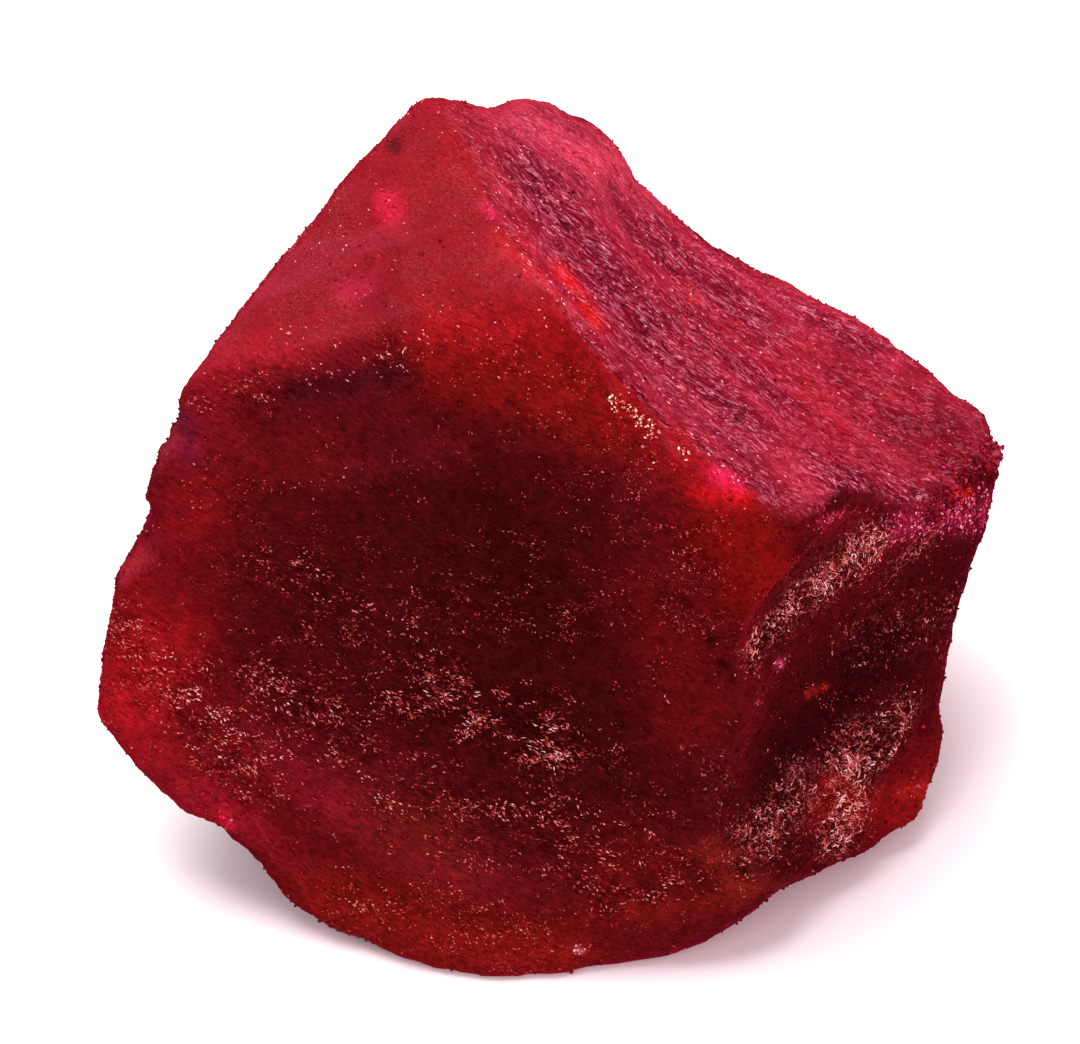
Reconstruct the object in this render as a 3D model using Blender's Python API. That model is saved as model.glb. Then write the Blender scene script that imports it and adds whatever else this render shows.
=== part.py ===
"""Raw ruby crystal: one rough, blocky piece of corundum that rests on a flat break.

A hull through the block's corners gives the broad faces. Shells are split out of it where the stone
parted, swells are joined on, and the breaks are worn round. The skin then gets its lumps, the streaks
of the long slope, and pits. Places and sizes are in millimetres, with +X to the right of the front
face, +Y to the back and +Z up. The finished stone stands on z = 0, centred on X and Y.
"""

import math
from typing import NamedTuple

import bmesh
import bpy
import numpy as np
from mathutils import Matrix, Vector, noise

MM = 0.001
NAME = "ruby_crystal"

RUBY_RED = (0.26, 0.022, 0.035, 1.0)
RUBY_ROUGHNESS = 0.45
CREASE_ANGLE = 38.0  # degrees: a sharper break than this keeps its edge, and the rest is shaded round

# Corners of the block, by the face or edge that they bound.
CORNERS = {
    # Foot of the front face, from the toe it rests on to the left point.
    "toe": (0.0, -12.4, 0.0),
    "toe_left": (-4.5, -11.9, 0.0),
    "foot_left": (-9.0, -10.1, 0.8),
    "foot_far_left": (-14.2, -8.0, 3.3),
    "left_point_low": (-20.3, -4.3, 8.4),
    "left_point_high": (-20.4, -3.8, 10.2),
    # Left edge, up to the crown.
    "left_step": (-17.9, -0.9, 18.8),
    "left_shoulder": (-16.3, 0.7, 23.8),
    "left_brow": (-12.4, 4.4, 27.3),
    "crown_slope": (-7.7, 8.6, 31.5),
    "crown": (-5.3, 10.3, 33.1),
    # Far edge of the long slope, from the second crown down to the right end.
    "second_crown": (0.4, 13.6, 30.2),
    "second_crown_right": (3.6, 13.4, 27.9),
    "slope_upper": (13.4, 10.0, 20.0),
    "slope_lower": (16.9, 10.2, 17.4),
    "right_end_far": (20.8, 9.3, 15.0),
    "right_end_near": (21.6, 7.2, 14.3),
    "right_end_low": (20.0, 4.0, 12.6),
    # Ridge between the front face and the long slope.
    "ridge_top": (-3.2, 7.4, 32.5),
    "ridge_upper": (0.2, 0.6, 30.7),
    "ridge_lower": (4.7, -3.4, 26.6),
    "ridge_end": (9.6, -5.0, 24.1),
    "slope_foot": (13.7, -1.8, 19.6),
    # Edge between the front face and the right face, and the right face's foot.
    "front_edge": (8.1, -8.5, 14.2),
    "front_edge_foot": (8.9, -10.4, 2.6),
    "right_foot": (14.2, -4.9, 1.3),
    "right_lobe": (17.6, -3.9, 1.9),
    "right_heel": (18.4, -0.4, 2.8),
    # The back and the flat underside.
    "back_crown": (-4.0, 15.0, 26.0),
    "back_slope": (8.0, 13.5, 20.5),
    "back_right": (17.0, 13.0, 10.0),
    "back_right_foot": (13.0, 13.0, 1.0),
    "back_foot": (0.0, 16.0, 2.0),
    "back_belly": (2.0, 18.0, 12.0),
    "back_knuckle": (-7.0, 16.5, 9.0),
    "back_left": (-15.0, 9.0, 10.0),
    "back_left_brow": (-12.0, 9.5, 21.0),
    "base_front_right": (4.6, -11.3, 0.0),
    "base_right": (13.5, -2.0, 0.0),
    "base_back_right": (11.0, 9.0, 0.0),
    "base_back": (0.0, 12.0, 0.0),
    "base_back_left": (-10.0, 7.0, 0.0),
    "base_left": (-10.0, -4.0, 0.0),
}


class Lens(NamedTuple):
    """A lens-shaped patch on the skin: where its middle is, the way the skin faces there, its long way,
    and its size along, across and into the stone."""

    middle: tuple
    outward: tuple
    along: tuple
    length: float
    width: float
    height: float


# Ways that several features share.
SLOPE_OUT = (0.60, 0.03, 0.80)
SLOPE_DOWN = (0.66, -0.58, -0.48)
FRONT_OUT = (-0.20, -0.91, 0.36)
RIGHT_OUT = (0.71, -0.68, 0.20)
RIGHT_LEDGE = (0.65, 0.66, 0.30)

# Shells that split out of the block, each leaving a hollow with a crisp rim.
SHELLS = {
    "slope_trough": Lens((5.2, 1.2, 26.9), SLOPE_OUT, SLOPE_DOWN, 24.0, 7.5, 1.0),
    "slope_dish": Lens((11.5, 5.6, 21.2), SLOPE_OUT, (0.74, -0.30, -0.55), 20.0, 9.0, 0.7),
    "far_edge_bite": Lens((7.6, 12.1, 24.8), (0.62, 0.55, 0.55), (0.77, -0.24, -0.60), 14.0, 6.0, 1.2),
    "crown_notch": Lens((-1.7, 12.2, 31.6), (0.20, 0.40, 0.90), (0.35, -0.90, 0.10), 9.0, 3.0, 1.2),
    "right_upper_shell": Lens((12.2, -4.2, 16.6), RIGHT_OUT, RIGHT_LEDGE, 15.0, 6.0, 1.5),
    "right_valley": Lens((13.6, -3.6, 11.6), RIGHT_OUT, RIGHT_LEDGE, 19.0, 8.0, 1.5),
    "lobe_crease": Lens((16.6, -3.0, 5.0), RIGHT_OUT, (0.35, 0.50, 0.80), 8.0, 2.6, 0.6),
    "brow_hollow": Lens((-9.3, -0.6, 24.0), (-0.22, -0.88, 0.42), (1.0, -0.10, 0.10), 15.0, 5.0, 0.8),
    "front_dish": Lens((-1.5, -6.5, 12.5), FRONT_OUT, (0.95, -0.10, -0.25), 24.0, 14.0, 0.7),
    "left_bite": Lens((-17.6, -0.6, 17.4), (-0.95, -0.20, 0.10), (0.0, 1.0, 0.0), 6.0, 2.6, 0.7),
    "back_upper_shell": Lens((6.5, 14.9, 18.0), (0.25, 0.92, 0.31), (0.75, -0.30, -0.45), 20.0, 8.5, 1.3),
    "back_lower_shell": Lens((6.0, 16.0, 8.0), (0.35, 0.94, -0.20), (0.85, -0.30, 0.40), 19.0, 9.0, 1.4),
    "back_left_shell": Lens((-6.8, 14.3, 18.5), (-0.50, 0.84, 0.20), (0.30, 0.15, 0.93), 17.0, 8.0, 1.0),
    "back_left_chip": Lens((-12.5, 11.2, 8.5), (-0.60, 0.78, -0.15), (0.70, 0.50, 0.35), 15.0, 8.0, 1.0),
    "right_back_shell": Lens((18.4, 7.0, 7.5), (0.90, 0.25, -0.30), (0.0, 0.60, 0.80), 10.0, 7.0, 1.0),
    "right_edge_shell": Lens((19.4, 2.8, 9.8), (0.95, -0.28, -0.10), (0.15, 0.45, 0.88), 10.0, 5.0, 0.2),
    "left_edge_shell": Lens((-19.6, -2.8, 14.0), (-0.97, -0.20, 0.12), (0.25, 0.25, 0.94), 9.0, 4.0, 0.4),
    "left_underside_shell": Lens((-14.0, -2.0, 4.0), (-0.70, -0.10, -0.70), (0.50, -0.80, 0.0), 11.0, 6.0, 0.8),
}

# Swells that stand out of the block.
SWELLS = {
    "front_corner_swell": Lens((8.4, -5.6, 20.4), (0.35, -0.88, 0.30), (0.10, -0.30, -0.90), 10.0, 7.0, 0.7),
    "right_lobe_swell": Lens((16.4, -3.8, 4.2), (0.75, -0.62, 0.10), (0.45, 0.50, 0.60), 6.0, 4.0, 0.5),
    "lip_swell": Lens((9.6, -9.8, 3.6), (0.30, -0.85, -0.30), (0.90, 0.30, 0.0), 5.0, 2.5, 0.5),
}
LENS_BULGE = 0.3  # a lens's height over the out-of-plane radius of the ellipsoid it is a cap of
LENS_SUBDIVISIONS = 4

# Wear of the breaks: the spacing of the skin's points, and how far each one gives way to its neighbours.
WEAR_VOXEL = 0.50
WEAR_FACTOR = 0.5
WEAR_PASSES = 5


class Relief(NamedTuple):
    """Unevenness of the skin: how far apart its lumps are, how deep it is, and its layers of detail."""

    spacing: float
    depth: float
    octaves: int


LUMPS = Relief(spacing=6.5, depth=0.32, octaves=3)
CHIPS = Relief(spacing=2.2, depth=0.14, octaves=2)
STREAKS = Relief(spacing=1.5, depth=0.28, octaves=2)
STREAK_STRETCH = 7.0  # a streak's length over its width
STREAK_EDGE = 0.6  # the facing, from 0 at a right angle to the slope to 1 along it, where streaks start
STREAK_FULL = 0.9  # and where they are at full depth
ROUGHENING = 0.9  # how fast each layer of detail gets weaker
FINER = 2.1  # how much finer each layer of detail is

# Dark pits, as their place, radius and depth.
PITS = {
    "crown_pit": ((-6.4, 8.5, 31.8), 0.55, 0.7),
    "lip_pit": ((9.1, -9.9, 4.7), 0.60, 0.8),
    "ledge_pit": ((7.7, -7.6, 16.0), 0.50, 0.6),
    "brow_pit": ((-9.1, -0.2, 25.2), 0.90, 0.5),
    "back_pit": ((5.0, 16.5, 14.0), 0.80, 0.7),
}

BASE_CUT = 0.25  # height above the lowest corners at which the underside is flat
BASE_FADE = 0.15  # the relief fades out over this much of the turn to straight down
TRIANGLES = 9400


def clear_scene():
    """Takes every object out of the scene."""
    for thing in list(bpy.data.objects):
        bpy.data.objects.remove(thing, do_unlink=True)


def add_object(name, shape):
    """An object in the scene from a bmesh, which is freed."""
    mesh = bpy.data.meshes.new(name)
    shape.to_mesh(mesh)
    shape.free()
    made = bpy.data.objects.new(name, mesh)
    bpy.context.scene.collection.objects.link(made)
    return made


def add_block():
    """The block: the hull of its corners."""
    block = bmesh.new()
    for corner in CORNERS.values():
        block.verts.new(Vector(corner) * MM)
    hull = bmesh.ops.convex_hull(block, input=block.verts)
    inside = {v for v in hull["geom_interior"] + hull["geom_unused"] if isinstance(v, bmesh.types.BMVert)}
    bmesh.ops.delete(block, geom=list(inside), context="VERTS")
    return add_object(NAME, block)


def add_lens(name, lens, sinks):
    """A hidden ellipsoid that meets the skin in the lens's outline. It sits outside the stone where it is
    carved out, and inside it where it is joined on, and reaches past the skin by the lens's height."""
    outward = Vector(lens.outward).normalized()
    along = Vector(lens.along)
    along = (along - outward * along.dot(outward)).normalized()
    across = outward.cross(along)
    radius_out = lens.height / LENS_BULGE
    share_at_skin = math.sqrt(1 - (1 - LENS_BULGE) ** 2)
    radii = Vector((lens.length / 2 / share_at_skin, lens.width / 2 / share_at_skin, radius_out))
    lift = radius_out - lens.height
    middle = Vector(lens.middle) + outward * (-lift if sinks else lift)
    turned = Matrix((along, across, outward)).transposed().to_4x4()
    place = Matrix.Translation(middle * MM) @ turned @ Matrix.Diagonal((*(radii * MM), 1.0))
    ball = bmesh.new()
    bmesh.ops.create_icosphere(ball, subdivisions=LENS_SUBDIVISIONS, radius=1.0, matrix=place)
    cutter = add_object(name, ball)
    cutter.hide_render = True
    cutter.display_type = "WIRE"
    return cutter


def combine(crystal, lenses, operation):
    """Joins each lens on to the crystal (UNION), or splits it out (DIFFERENCE)."""
    for name, lens in lenses.items():
        joint = crystal.modifiers.new(name, "BOOLEAN")
        joint.object = add_lens(name, lens, sinks=operation == "UNION")
        joint.operation = operation


def wear(crystal):
    """Rounds the breaks: an even skin of small faces, each drawn towards its neighbours."""
    skin = crystal.modifiers.new("skin", "REMESH")
    skin.mode = "VOXEL"
    skin.voxel_size = WEAR_VOXEL * MM
    rounding = crystal.modifiers.new("rounding", "SMOOTH")
    rounding.factor = WEAR_FACTOR
    rounding.iterations = WEAR_PASSES


def apply_modifiers(crystal):
    """Makes the shape that the modifiers give the crystal's own."""
    graph = bpy.context.evaluated_depsgraph_get()
    finished = bpy.data.meshes.new_from_object(crystal.evaluated_get(graph))
    crystal.modifiers.clear()
    crystal.data = finished


def relief_at(point, relief):
    """How far the skin stands out at a point, for one kind of relief."""
    return noise.fractal(point / relief.spacing, ROUGHENING, FINER, relief.octaves) * relief.depth


def streaks_at(point, facing, out, down, across):
    """Grooves that run down the long slope, and fade where the skin turns away from it."""
    on_slope = (facing.dot(out) - STREAK_EDGE) / (STREAK_FULL - STREAK_EDGE)
    on_slope = min(max(on_slope, 0.0), 1.0)
    drawn_out = Vector((point.dot(across), point.dot(down) / STREAK_STRETCH, point.dot(out)))
    return relief_at(drawn_out, STREAKS) * on_slope


def pits_at(point):
    """How far the pits sink the skin at a point."""
    sunk = 0.0
    for place, radius, depth in PITS.values():
        away = (point - Vector(place)).length / radius
        sunk -= depth * math.exp(-away * away)
    return sunk


def roughen(crystal):
    """Moves each point of the skin in or out by the stone's lumps, chips, streaks and pits."""
    out = Vector(SLOPE_OUT).normalized()
    down = Vector(SLOPE_DOWN).normalized()
    across = out.cross(down)
    mesh = crystal.data
    moves = []
    for vertex in mesh.vertices:
        point = vertex.co / MM
        facing = vertex.normal
        moved = relief_at(point, LUMPS) + relief_at(point, CHIPS)
        moved += streaks_at(point, facing, out, down, across) + pits_at(point)
        moved *= min((facing.z + 1.0) / BASE_FADE, 1.0)
        moves.append(facing * moved * MM)
    for vertex, move in zip(mesh.vertices, moves):
        vertex.co += move


def flatten_base(crystal):
    """Cuts the underside to the flat that the stone rests on, and puts that flat at z = 0."""
    stone = bmesh.new()
    stone.from_mesh(crystal.data)
    everything = stone.verts[:] + stone.edges[:] + stone.faces[:]
    level = Vector((0.0, 0.0, BASE_CUT * MM))
    cut = bmesh.ops.bisect_plane(stone, geom=everything, plane_co=level, plane_no=(0, 0, -1), clear_outer=True)
    rim = [edge for edge in cut["geom_cut"] if isinstance(edge, bmesh.types.BMEdge)]
    bmesh.ops.holes_fill(stone, edges=rim)
    bmesh.ops.translate(stone, verts=stone.verts, vec=-level)
    bmesh.ops.triangulate(stone, faces=stone.faces)
    stone.to_mesh(crystal.data)
    stone.free()


def thin_out(crystal):
    """Fewer, larger triangles where the skin is flat."""
    fewer = crystal.modifiers.new("fewer", "DECIMATE")
    fewer.ratio = TRIANGLES / len(crystal.data.polygons)


def centre(crystal):
    """Puts the middle of the stone's outer box over the origin."""
    spots = np.array([vertex.co for vertex in crystal.data.vertices])
    middle = (spots.min(axis=0) + spots.max(axis=0)) / 2
    crystal.data.transform(Matrix.Translation((-middle[0], -middle[1], 0.0)))


def finish_skin(crystal):
    """The ruby's material, and shading that keeps the sharp breaks."""
    ruby = bpy.data.materials.new("raw_ruby")
    ruby.use_nodes = True
    shader = ruby.node_tree.nodes["Principled BSDF"]
    shader.inputs["Base Color"].default_value = RUBY_RED
    shader.inputs["Roughness"].default_value = RUBY_ROUGHNESS
    shader.inputs["Metallic"].default_value = 0.0
    crystal.data.materials.append(ruby)
    crystal.data.shade_smooth()
    crystal.data.set_sharp_from_angle(angle=math.radians(CREASE_ANGLE))


def main():
    clear_scene()
    crystal = add_block()
    combine(crystal, SWELLS, "UNION")
    combine(crystal, SHELLS, "DIFFERENCE")
    wear(crystal)
    apply_modifiers(crystal)
    roughen(crystal)
    flatten_base(crystal)
    thin_out(crystal)
    apply_modifiers(crystal)
    centre(crystal)
    finish_skin(crystal)


main()
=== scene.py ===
"""Raw ruby crystal: the finished look of one rough, blocky piece of corundum.

The stone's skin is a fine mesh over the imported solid. It carries the relief of each face: the fibres of
the long slope, the sugary grain of the front break, and the lumpy ledges of the right break. Small
crystal grains stand on it and glint. Lengths are in millimetres unless a name says otherwise.
"""

import itertools
import logging
import math
from dataclasses import dataclass, field
from enum import Enum

import bpy
import numpy as np
from mathutils import Matrix, Vector
from mathutils.bvhtree import BVHTree


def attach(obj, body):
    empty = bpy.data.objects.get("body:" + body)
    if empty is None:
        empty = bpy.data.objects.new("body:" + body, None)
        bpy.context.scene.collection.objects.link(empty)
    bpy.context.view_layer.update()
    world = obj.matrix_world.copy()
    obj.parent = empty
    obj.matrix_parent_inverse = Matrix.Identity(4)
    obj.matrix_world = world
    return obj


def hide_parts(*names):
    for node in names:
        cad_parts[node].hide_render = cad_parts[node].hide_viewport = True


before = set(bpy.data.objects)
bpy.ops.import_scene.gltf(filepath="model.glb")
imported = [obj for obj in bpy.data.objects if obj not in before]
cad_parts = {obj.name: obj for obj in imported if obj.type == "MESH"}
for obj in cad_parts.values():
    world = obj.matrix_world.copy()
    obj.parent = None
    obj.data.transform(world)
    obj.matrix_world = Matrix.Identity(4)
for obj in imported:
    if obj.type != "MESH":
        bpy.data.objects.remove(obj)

log = logging.getLogger("ruby")

MM = 0.001
NODE = "ruby_crystal"
BODY = "root"
# How many directions the noise draws from, and what brings its height to about -1 to 1.
NOISE_TABLE = 256
NOISE_GAIN = 1.7

Numbers = np.ndarray
Triple = tuple[float, float, float]
Pixel = tuple[float, float]
Span = tuple[float, float]
Tree = bpy.types.NodeTree
Socket = bpy.types.NodeSocket
Thing = bpy.types.Object
Dice = np.random.Generator


# ---- Small tools ----


def linear(colour: str) -> Triple:
    """Turns an sRGB hex colour to linear light, with the numbers of the sRGB standard.

    Args:
        colour: the colour as "#RRGGBB".

    Returns:
        Red, green and blue, from 0 to 1.
    """
    channels = [int(colour[start : start + 2], 16) / 255 for start in (1, 3, 5)]
    return tuple(c / 12.92 if c <= 0.04045 else ((c + 0.055) / 1.055) ** 2.4 for c in channels)


def opaque(colour: str) -> tuple[float, ...]:
    """Turns an sRGB hex colour to the four linear values that a colour socket takes."""
    return (*linear(colour), 1.0)


def over(below: Numbers, above: str, share: Numbers) -> Numbers:
    """Lays an sRGB hex colour over the linear colour of each row, as fully as its share says."""
    return below + (np.array(linear(above)) - below) * share[:, None]


def between(colours: tuple[str, ...], stops: Numbers, values: Numbers) -> Numbers:
    """Picks a linear colour for each value, from sRGB hex colours that stand at rising stops."""
    palette = np.array([linear(colour) for colour in colours])
    return np.stack([np.interp(values, stops, palette[:, channel]) for channel in range(3)], axis=1)


def unit(vectors: Numbers) -> Numbers:
    """Scales one vector, or the vector in each row, to length one."""
    vectors = np.asarray(vectors, float)
    return vectors / np.maximum(np.linalg.norm(vectors, axis=-1, keepdims=True), 1e-9)


def turned(vectors: Numbers, axes: Numbers, angles: Numbers) -> Numbers:
    """Turns each row's vector about a unit axis that is square to it, by an angle in radians."""
    return vectors * np.cos(angles)[:, None] + np.cross(axes, vectors) * np.sin(angles)[:, None]


def ramp(values: Numbers, low: float, high: float) -> Numbers:
    """Smooth steps for values: 0 up to low, and 1 from high."""
    share = np.clip((values - low) / (high - low), 0.0, 1.0)
    return share * share * (3.0 - 2.0 * share)


def lattice_noise(points: Numbers, seed: int) -> Numbers:
    """Gradient noise, with one lump in each unit cell.

    Args:
        points: one point in each row, in cells.
        seed: picks the pattern.

    Returns:
        About -1 to 1 for each point.
    """
    directions = unit(np.random.default_rng(seed).normal(size=(NOISE_TABLE, 3)))
    shuffled = np.random.default_rng(seed + 1).permutation(NOISE_TABLE)
    cells = np.floor(points).astype(int)
    inside = points - cells
    fade = inside**3 * (inside * (inside * 6.0 - 15.0) + 10.0)
    total = np.zeros(len(points))
    for corner in itertools.product((0, 1), repeat=3):
        pick = np.zeros(len(points), int)
        for axis in range(3):
            pick = shuffled[(pick + cells[:, axis] + corner[axis]) % NOISE_TABLE]
        reach = np.einsum("ij,ij->i", directions[pick], inside - corner)
        total += np.prod(np.where(corner, fade, 1.0 - fade), axis=1) * reach
    return total * NOISE_GAIN


@dataclass(frozen=True)
class Lumps:
    """A seeded pattern of lumps: their spacing, and how many layers it has, each one half as wide and half
    as strong as the one before."""

    spacing: float
    layers: int
    seed: int

    def at(self, points: Numbers) -> Numbers:
        """How high the lumps stand.

        Args:
            points: places in mm, one in each row.

        Returns:
            About -1 to 1 for each place.
        """
        total = np.zeros(len(points))
        for layer in range(self.layers):
            cells = points / self.spacing * 2.0**layer
            total += lattice_noise(cells, self.seed + 10 * layer) * 0.5**layer
        return total


def add_node(tree: Tree, kind: str, settings: dict, output: str | int = 0) -> Socket | None:
    """Adds a shader node, with its settings and links.

    Args:
        tree: the material's node tree.
        kind: the node's type, without its "ShaderNode" prefix.
        settings: by name or number, values of the node's own properties, and the value of each input or
            the socket that feeds it.
        output: the output that is wanted.

    Returns:
        That output, where the node has one.
    """
    node = tree.nodes.new("ShaderNode" + kind)
    for name, value in settings.items():
        if isinstance(value, Socket):
            tree.links.new(value, node.inputs[name])
        elif isinstance(name, str) and hasattr(node, name):
            setattr(node, name, value)
        else:
            node.inputs[name].default_value = value
    return node.outputs[output] if node.outputs else None


def new_material(name: str) -> tuple[bpy.types.Material, Tree]:
    """Makes a material with an empty node tree.

    Args:
        name: the material's name.

    Returns:
        The material and its tree.
    """
    material = bpy.data.materials.new(name)
    material.use_nodes = True
    material.node_tree.nodes.clear()
    return material, material.node_tree


def mesh_object(name: str, points: Numbers, triangles: Numbers) -> Thing:
    """Makes a mesh object from arrays and links it to the scene.

    Args:
        name: the object's name.
        points: places in mm, one in each row.
        triangles: three point numbers in each row.

    Returns:
        The new object.
    """
    mesh = bpy.data.meshes.new(name)
    mesh.vertices.add(len(points))
    mesh.vertices.foreach_set("co", (points * MM).astype(np.float32).ravel())
    mesh.loops.add(triangles.size)
    mesh.loops.foreach_set("vertex_index", triangles.astype(np.int32).ravel())
    mesh.polygons.add(len(triangles))
    mesh.polygons.foreach_set("loop_start", np.arange(0, triangles.size, 3, dtype=np.int32))
    mesh.update(calc_edges=True)
    mesh.validate()
    made = bpy.data.objects.new(name, mesh)
    bpy.context.scene.collection.objects.link(made)
    return made


def paint(piece: Thing, name: str, values: Numbers) -> None:
    """Stores a value for each vertex, for the piece's material to read.

    Args:
        piece: the mesh object.
        name: the attribute's name.
        values: one number, three coordinates or one colour for each vertex.
    """
    kind, store = "FLOAT_VECTOR", "vector"
    if values.ndim == 1:
        kind, store = "FLOAT", "value"
    elif name.endswith("colour"):
        kind, store = "FLOAT_COLOR", "color"
        values = np.concatenate([values, np.ones((len(values), 1))], axis=1)
    made = piece.data.attributes.new(name, kind, "POINT")
    made.data.foreach_set(store, values.astype(np.float32).ravel())


# ---- Camera and studio ----


@dataclass(frozen=True)
class ViewFrame:
    """The camera's place, and the frame of 1080 by 1044 pixels that it sees the stone in."""

    target: Triple = (-0.586, -2.870, 17.0)
    distance: float = 230.0
    elevation: float = 45.0
    pixels_per_mm: float = 22.6
    width: int = 1080
    height: int = 1044
    sensor: float = 36.0
    nearest: float = 10.0

    @property
    def eye(self) -> Vector:
        """The camera's place in mm."""
        angle = math.radians(self.elevation)
        return Vector(self.target) + Vector((0.0, -math.cos(angle), math.sin(angle))) * self.distance

    def ray(self, pixel: Pixel) -> tuple[Vector, Vector]:
        """The line of sight through a pixel of the frame.

        Args:
            pixel: across and down from the frame's top left corner.

        Returns:
            Where the line starts, in mm, and its direction.
        """
        angle = math.radians(self.elevation)
        up = Vector((0.0, math.sin(angle), math.cos(angle)))
        across = (pixel[0] - self.width / 2) / self.pixels_per_mm
        above = (self.height / 2 - pixel[1]) / self.pixels_per_mm
        seen = Vector(self.target) + Vector((across, 0.0, 0.0)) + up * above
        return self.eye, (seen - self.eye).normalized()

    def add_camera(self) -> None:
        """Adds the camera and makes it the scene's."""
        lens = bpy.data.cameras.new("view")
        lens.sensor_width = self.sensor
        lens.sensor_fit = "HORIZONTAL"
        lens.lens = self.sensor * self.pixels_per_mm * self.distance / self.width
        lens.clip_start = self.nearest * MM
        camera = bpy.data.objects.new("view", lens)
        camera.location = self.eye * MM
        camera.rotation_euler = (math.radians(90.0 - self.elevation), 0.0, 0.0)
        bpy.context.scene.collection.objects.link(camera)
        bpy.context.scene.camera = camera


@dataclass(frozen=True)
class SoftBox:
    """A square studio light: its place and size in mm, its colour and its power in watts."""

    name: str
    place: Triple
    size: float
    colour: str
    power: float

    def add(self, target: Vector) -> None:
        """Adds the light, turned to face the stone.

        Args:
            target: what it points at, in mm.
        """
        light = bpy.data.lights.new(self.name, "AREA")
        light.shape = "SQUARE"
        light.size = self.size * MM
        light.color = linear(self.colour)
        light.energy = self.power
        holder = bpy.data.objects.new(self.name, light)
        holder.location = Vector(self.place) * MM
        holder.rotation_euler = (target - Vector(self.place)).to_track_quat("-Z", "Y").to_euler()
        bpy.context.scene.collection.objects.link(holder)


@dataclass(frozen=True)
class Studio:
    """A plain white floor under soft light: a broad box overhead and behind, weak ones in front and on the
    left, and a warm panel on the right."""

    floor_width: float = 6000.0
    floor_colour: str = "#F6F4F3"
    surround_colour: str = "#FFE6F4"
    surround_strength: float = 0.64
    boxes: tuple[SoftBox, ...] = (
        SoftBox("overhead_box", (-120.0, 190.0, 560.0), 500.0, "#FFFFFF", 5.3),
        SoftBox("front_box", (-260.0, -330.0, 300.0), 260.0, "#FFFFFF", 0.33),
        SoftBox("left_box", (-420.0, 60.0, 330.0), 260.0, "#FFF6FB", 0.3),
        SoftBox("right_panel", (380.0, -240.0, 120.0), 120.0, "#FFD0D4", 1.6),
    )

    def add_floor(self) -> None:
        """Adds the floor that the stone stands on."""
        half = self.floor_width / 2
        corners = np.array([(-half, -half, 0.0), (half, -half, 0.0), (half, half, 0.0), (-half, half, 0.0)])
        floor = mesh_object("floor", corners, np.array([(0, 1, 2), (0, 2, 3)]))
        material, tree = new_material("matt_white_card")
        # Matt card: no gloss at all, so that the floor shows only soft shadow.
        card = {"Roughness": 1.0, "Specular IOR Level": 0.0, "Base Color": opaque(self.floor_colour)}
        add_node(tree, "OutputMaterial", {"Surface": add_node(tree, "BsdfPrincipled", card)})
        floor.data.materials.append(material)

    def add_lights(self, target: Vector) -> None:
        """Adds the surround and the soft boxes.

        Args:
            target: what the boxes point at, in mm.
        """
        world = bpy.data.worlds.new("surround")
        world.use_nodes = True
        glow = world.node_tree.nodes["Background"]
        glow.inputs["Color"].default_value = opaque(self.surround_colour)
        glow.inputs["Strength"].default_value = self.surround_strength
        bpy.context.scene.world = world
        for box in self.boxes:
            box.add(target)


# ---- The stone's faces ----


class Face(Enum):
    """The stone's broad faces, by the way that each one faces."""

    SLOPE = (0.60, 0.03, 0.80)
    BROW = (-0.40, -0.42, 0.81)
    FRONT = (-0.20, -0.91, 0.36)
    RIGHT = (0.71, -0.68, 0.20)


# The way that the grain of the front break runs, across and down the face.
FRONT_GRAIN = (0.87, -0.34, -0.37)


# ---- Finishes ----


@dataclass(frozen=True)
class GrainFrame:
    """A set of axes in the stone, and the size in mm of one cell of a pattern that is laid along them."""

    along: Triple
    out: Triple
    cell: Triple

    def lay(self, tree: Tree) -> Socket:
        """Turns places on the stone to cells of the pattern.

        Args:
            tree: the material's node tree.

        Returns:
            The place in cells, along the frame's axes.
        """
        place = add_node(tree, "TexCoord", {}, "Object")
        out = Vector(self.out).normalized()
        along = Vector(self.along)
        along = (along - out * along.dot(out)).normalized()
        turn = Matrix((along, out.cross(along), out)).transposed().to_euler()
        size = [length * MM for length in self.cell]
        settings = {"vector_type": "TEXTURE", "Rotation": turn, "Scale": size, "Vector": place}
        return add_node(tree, "Mapping", settings)


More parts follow.
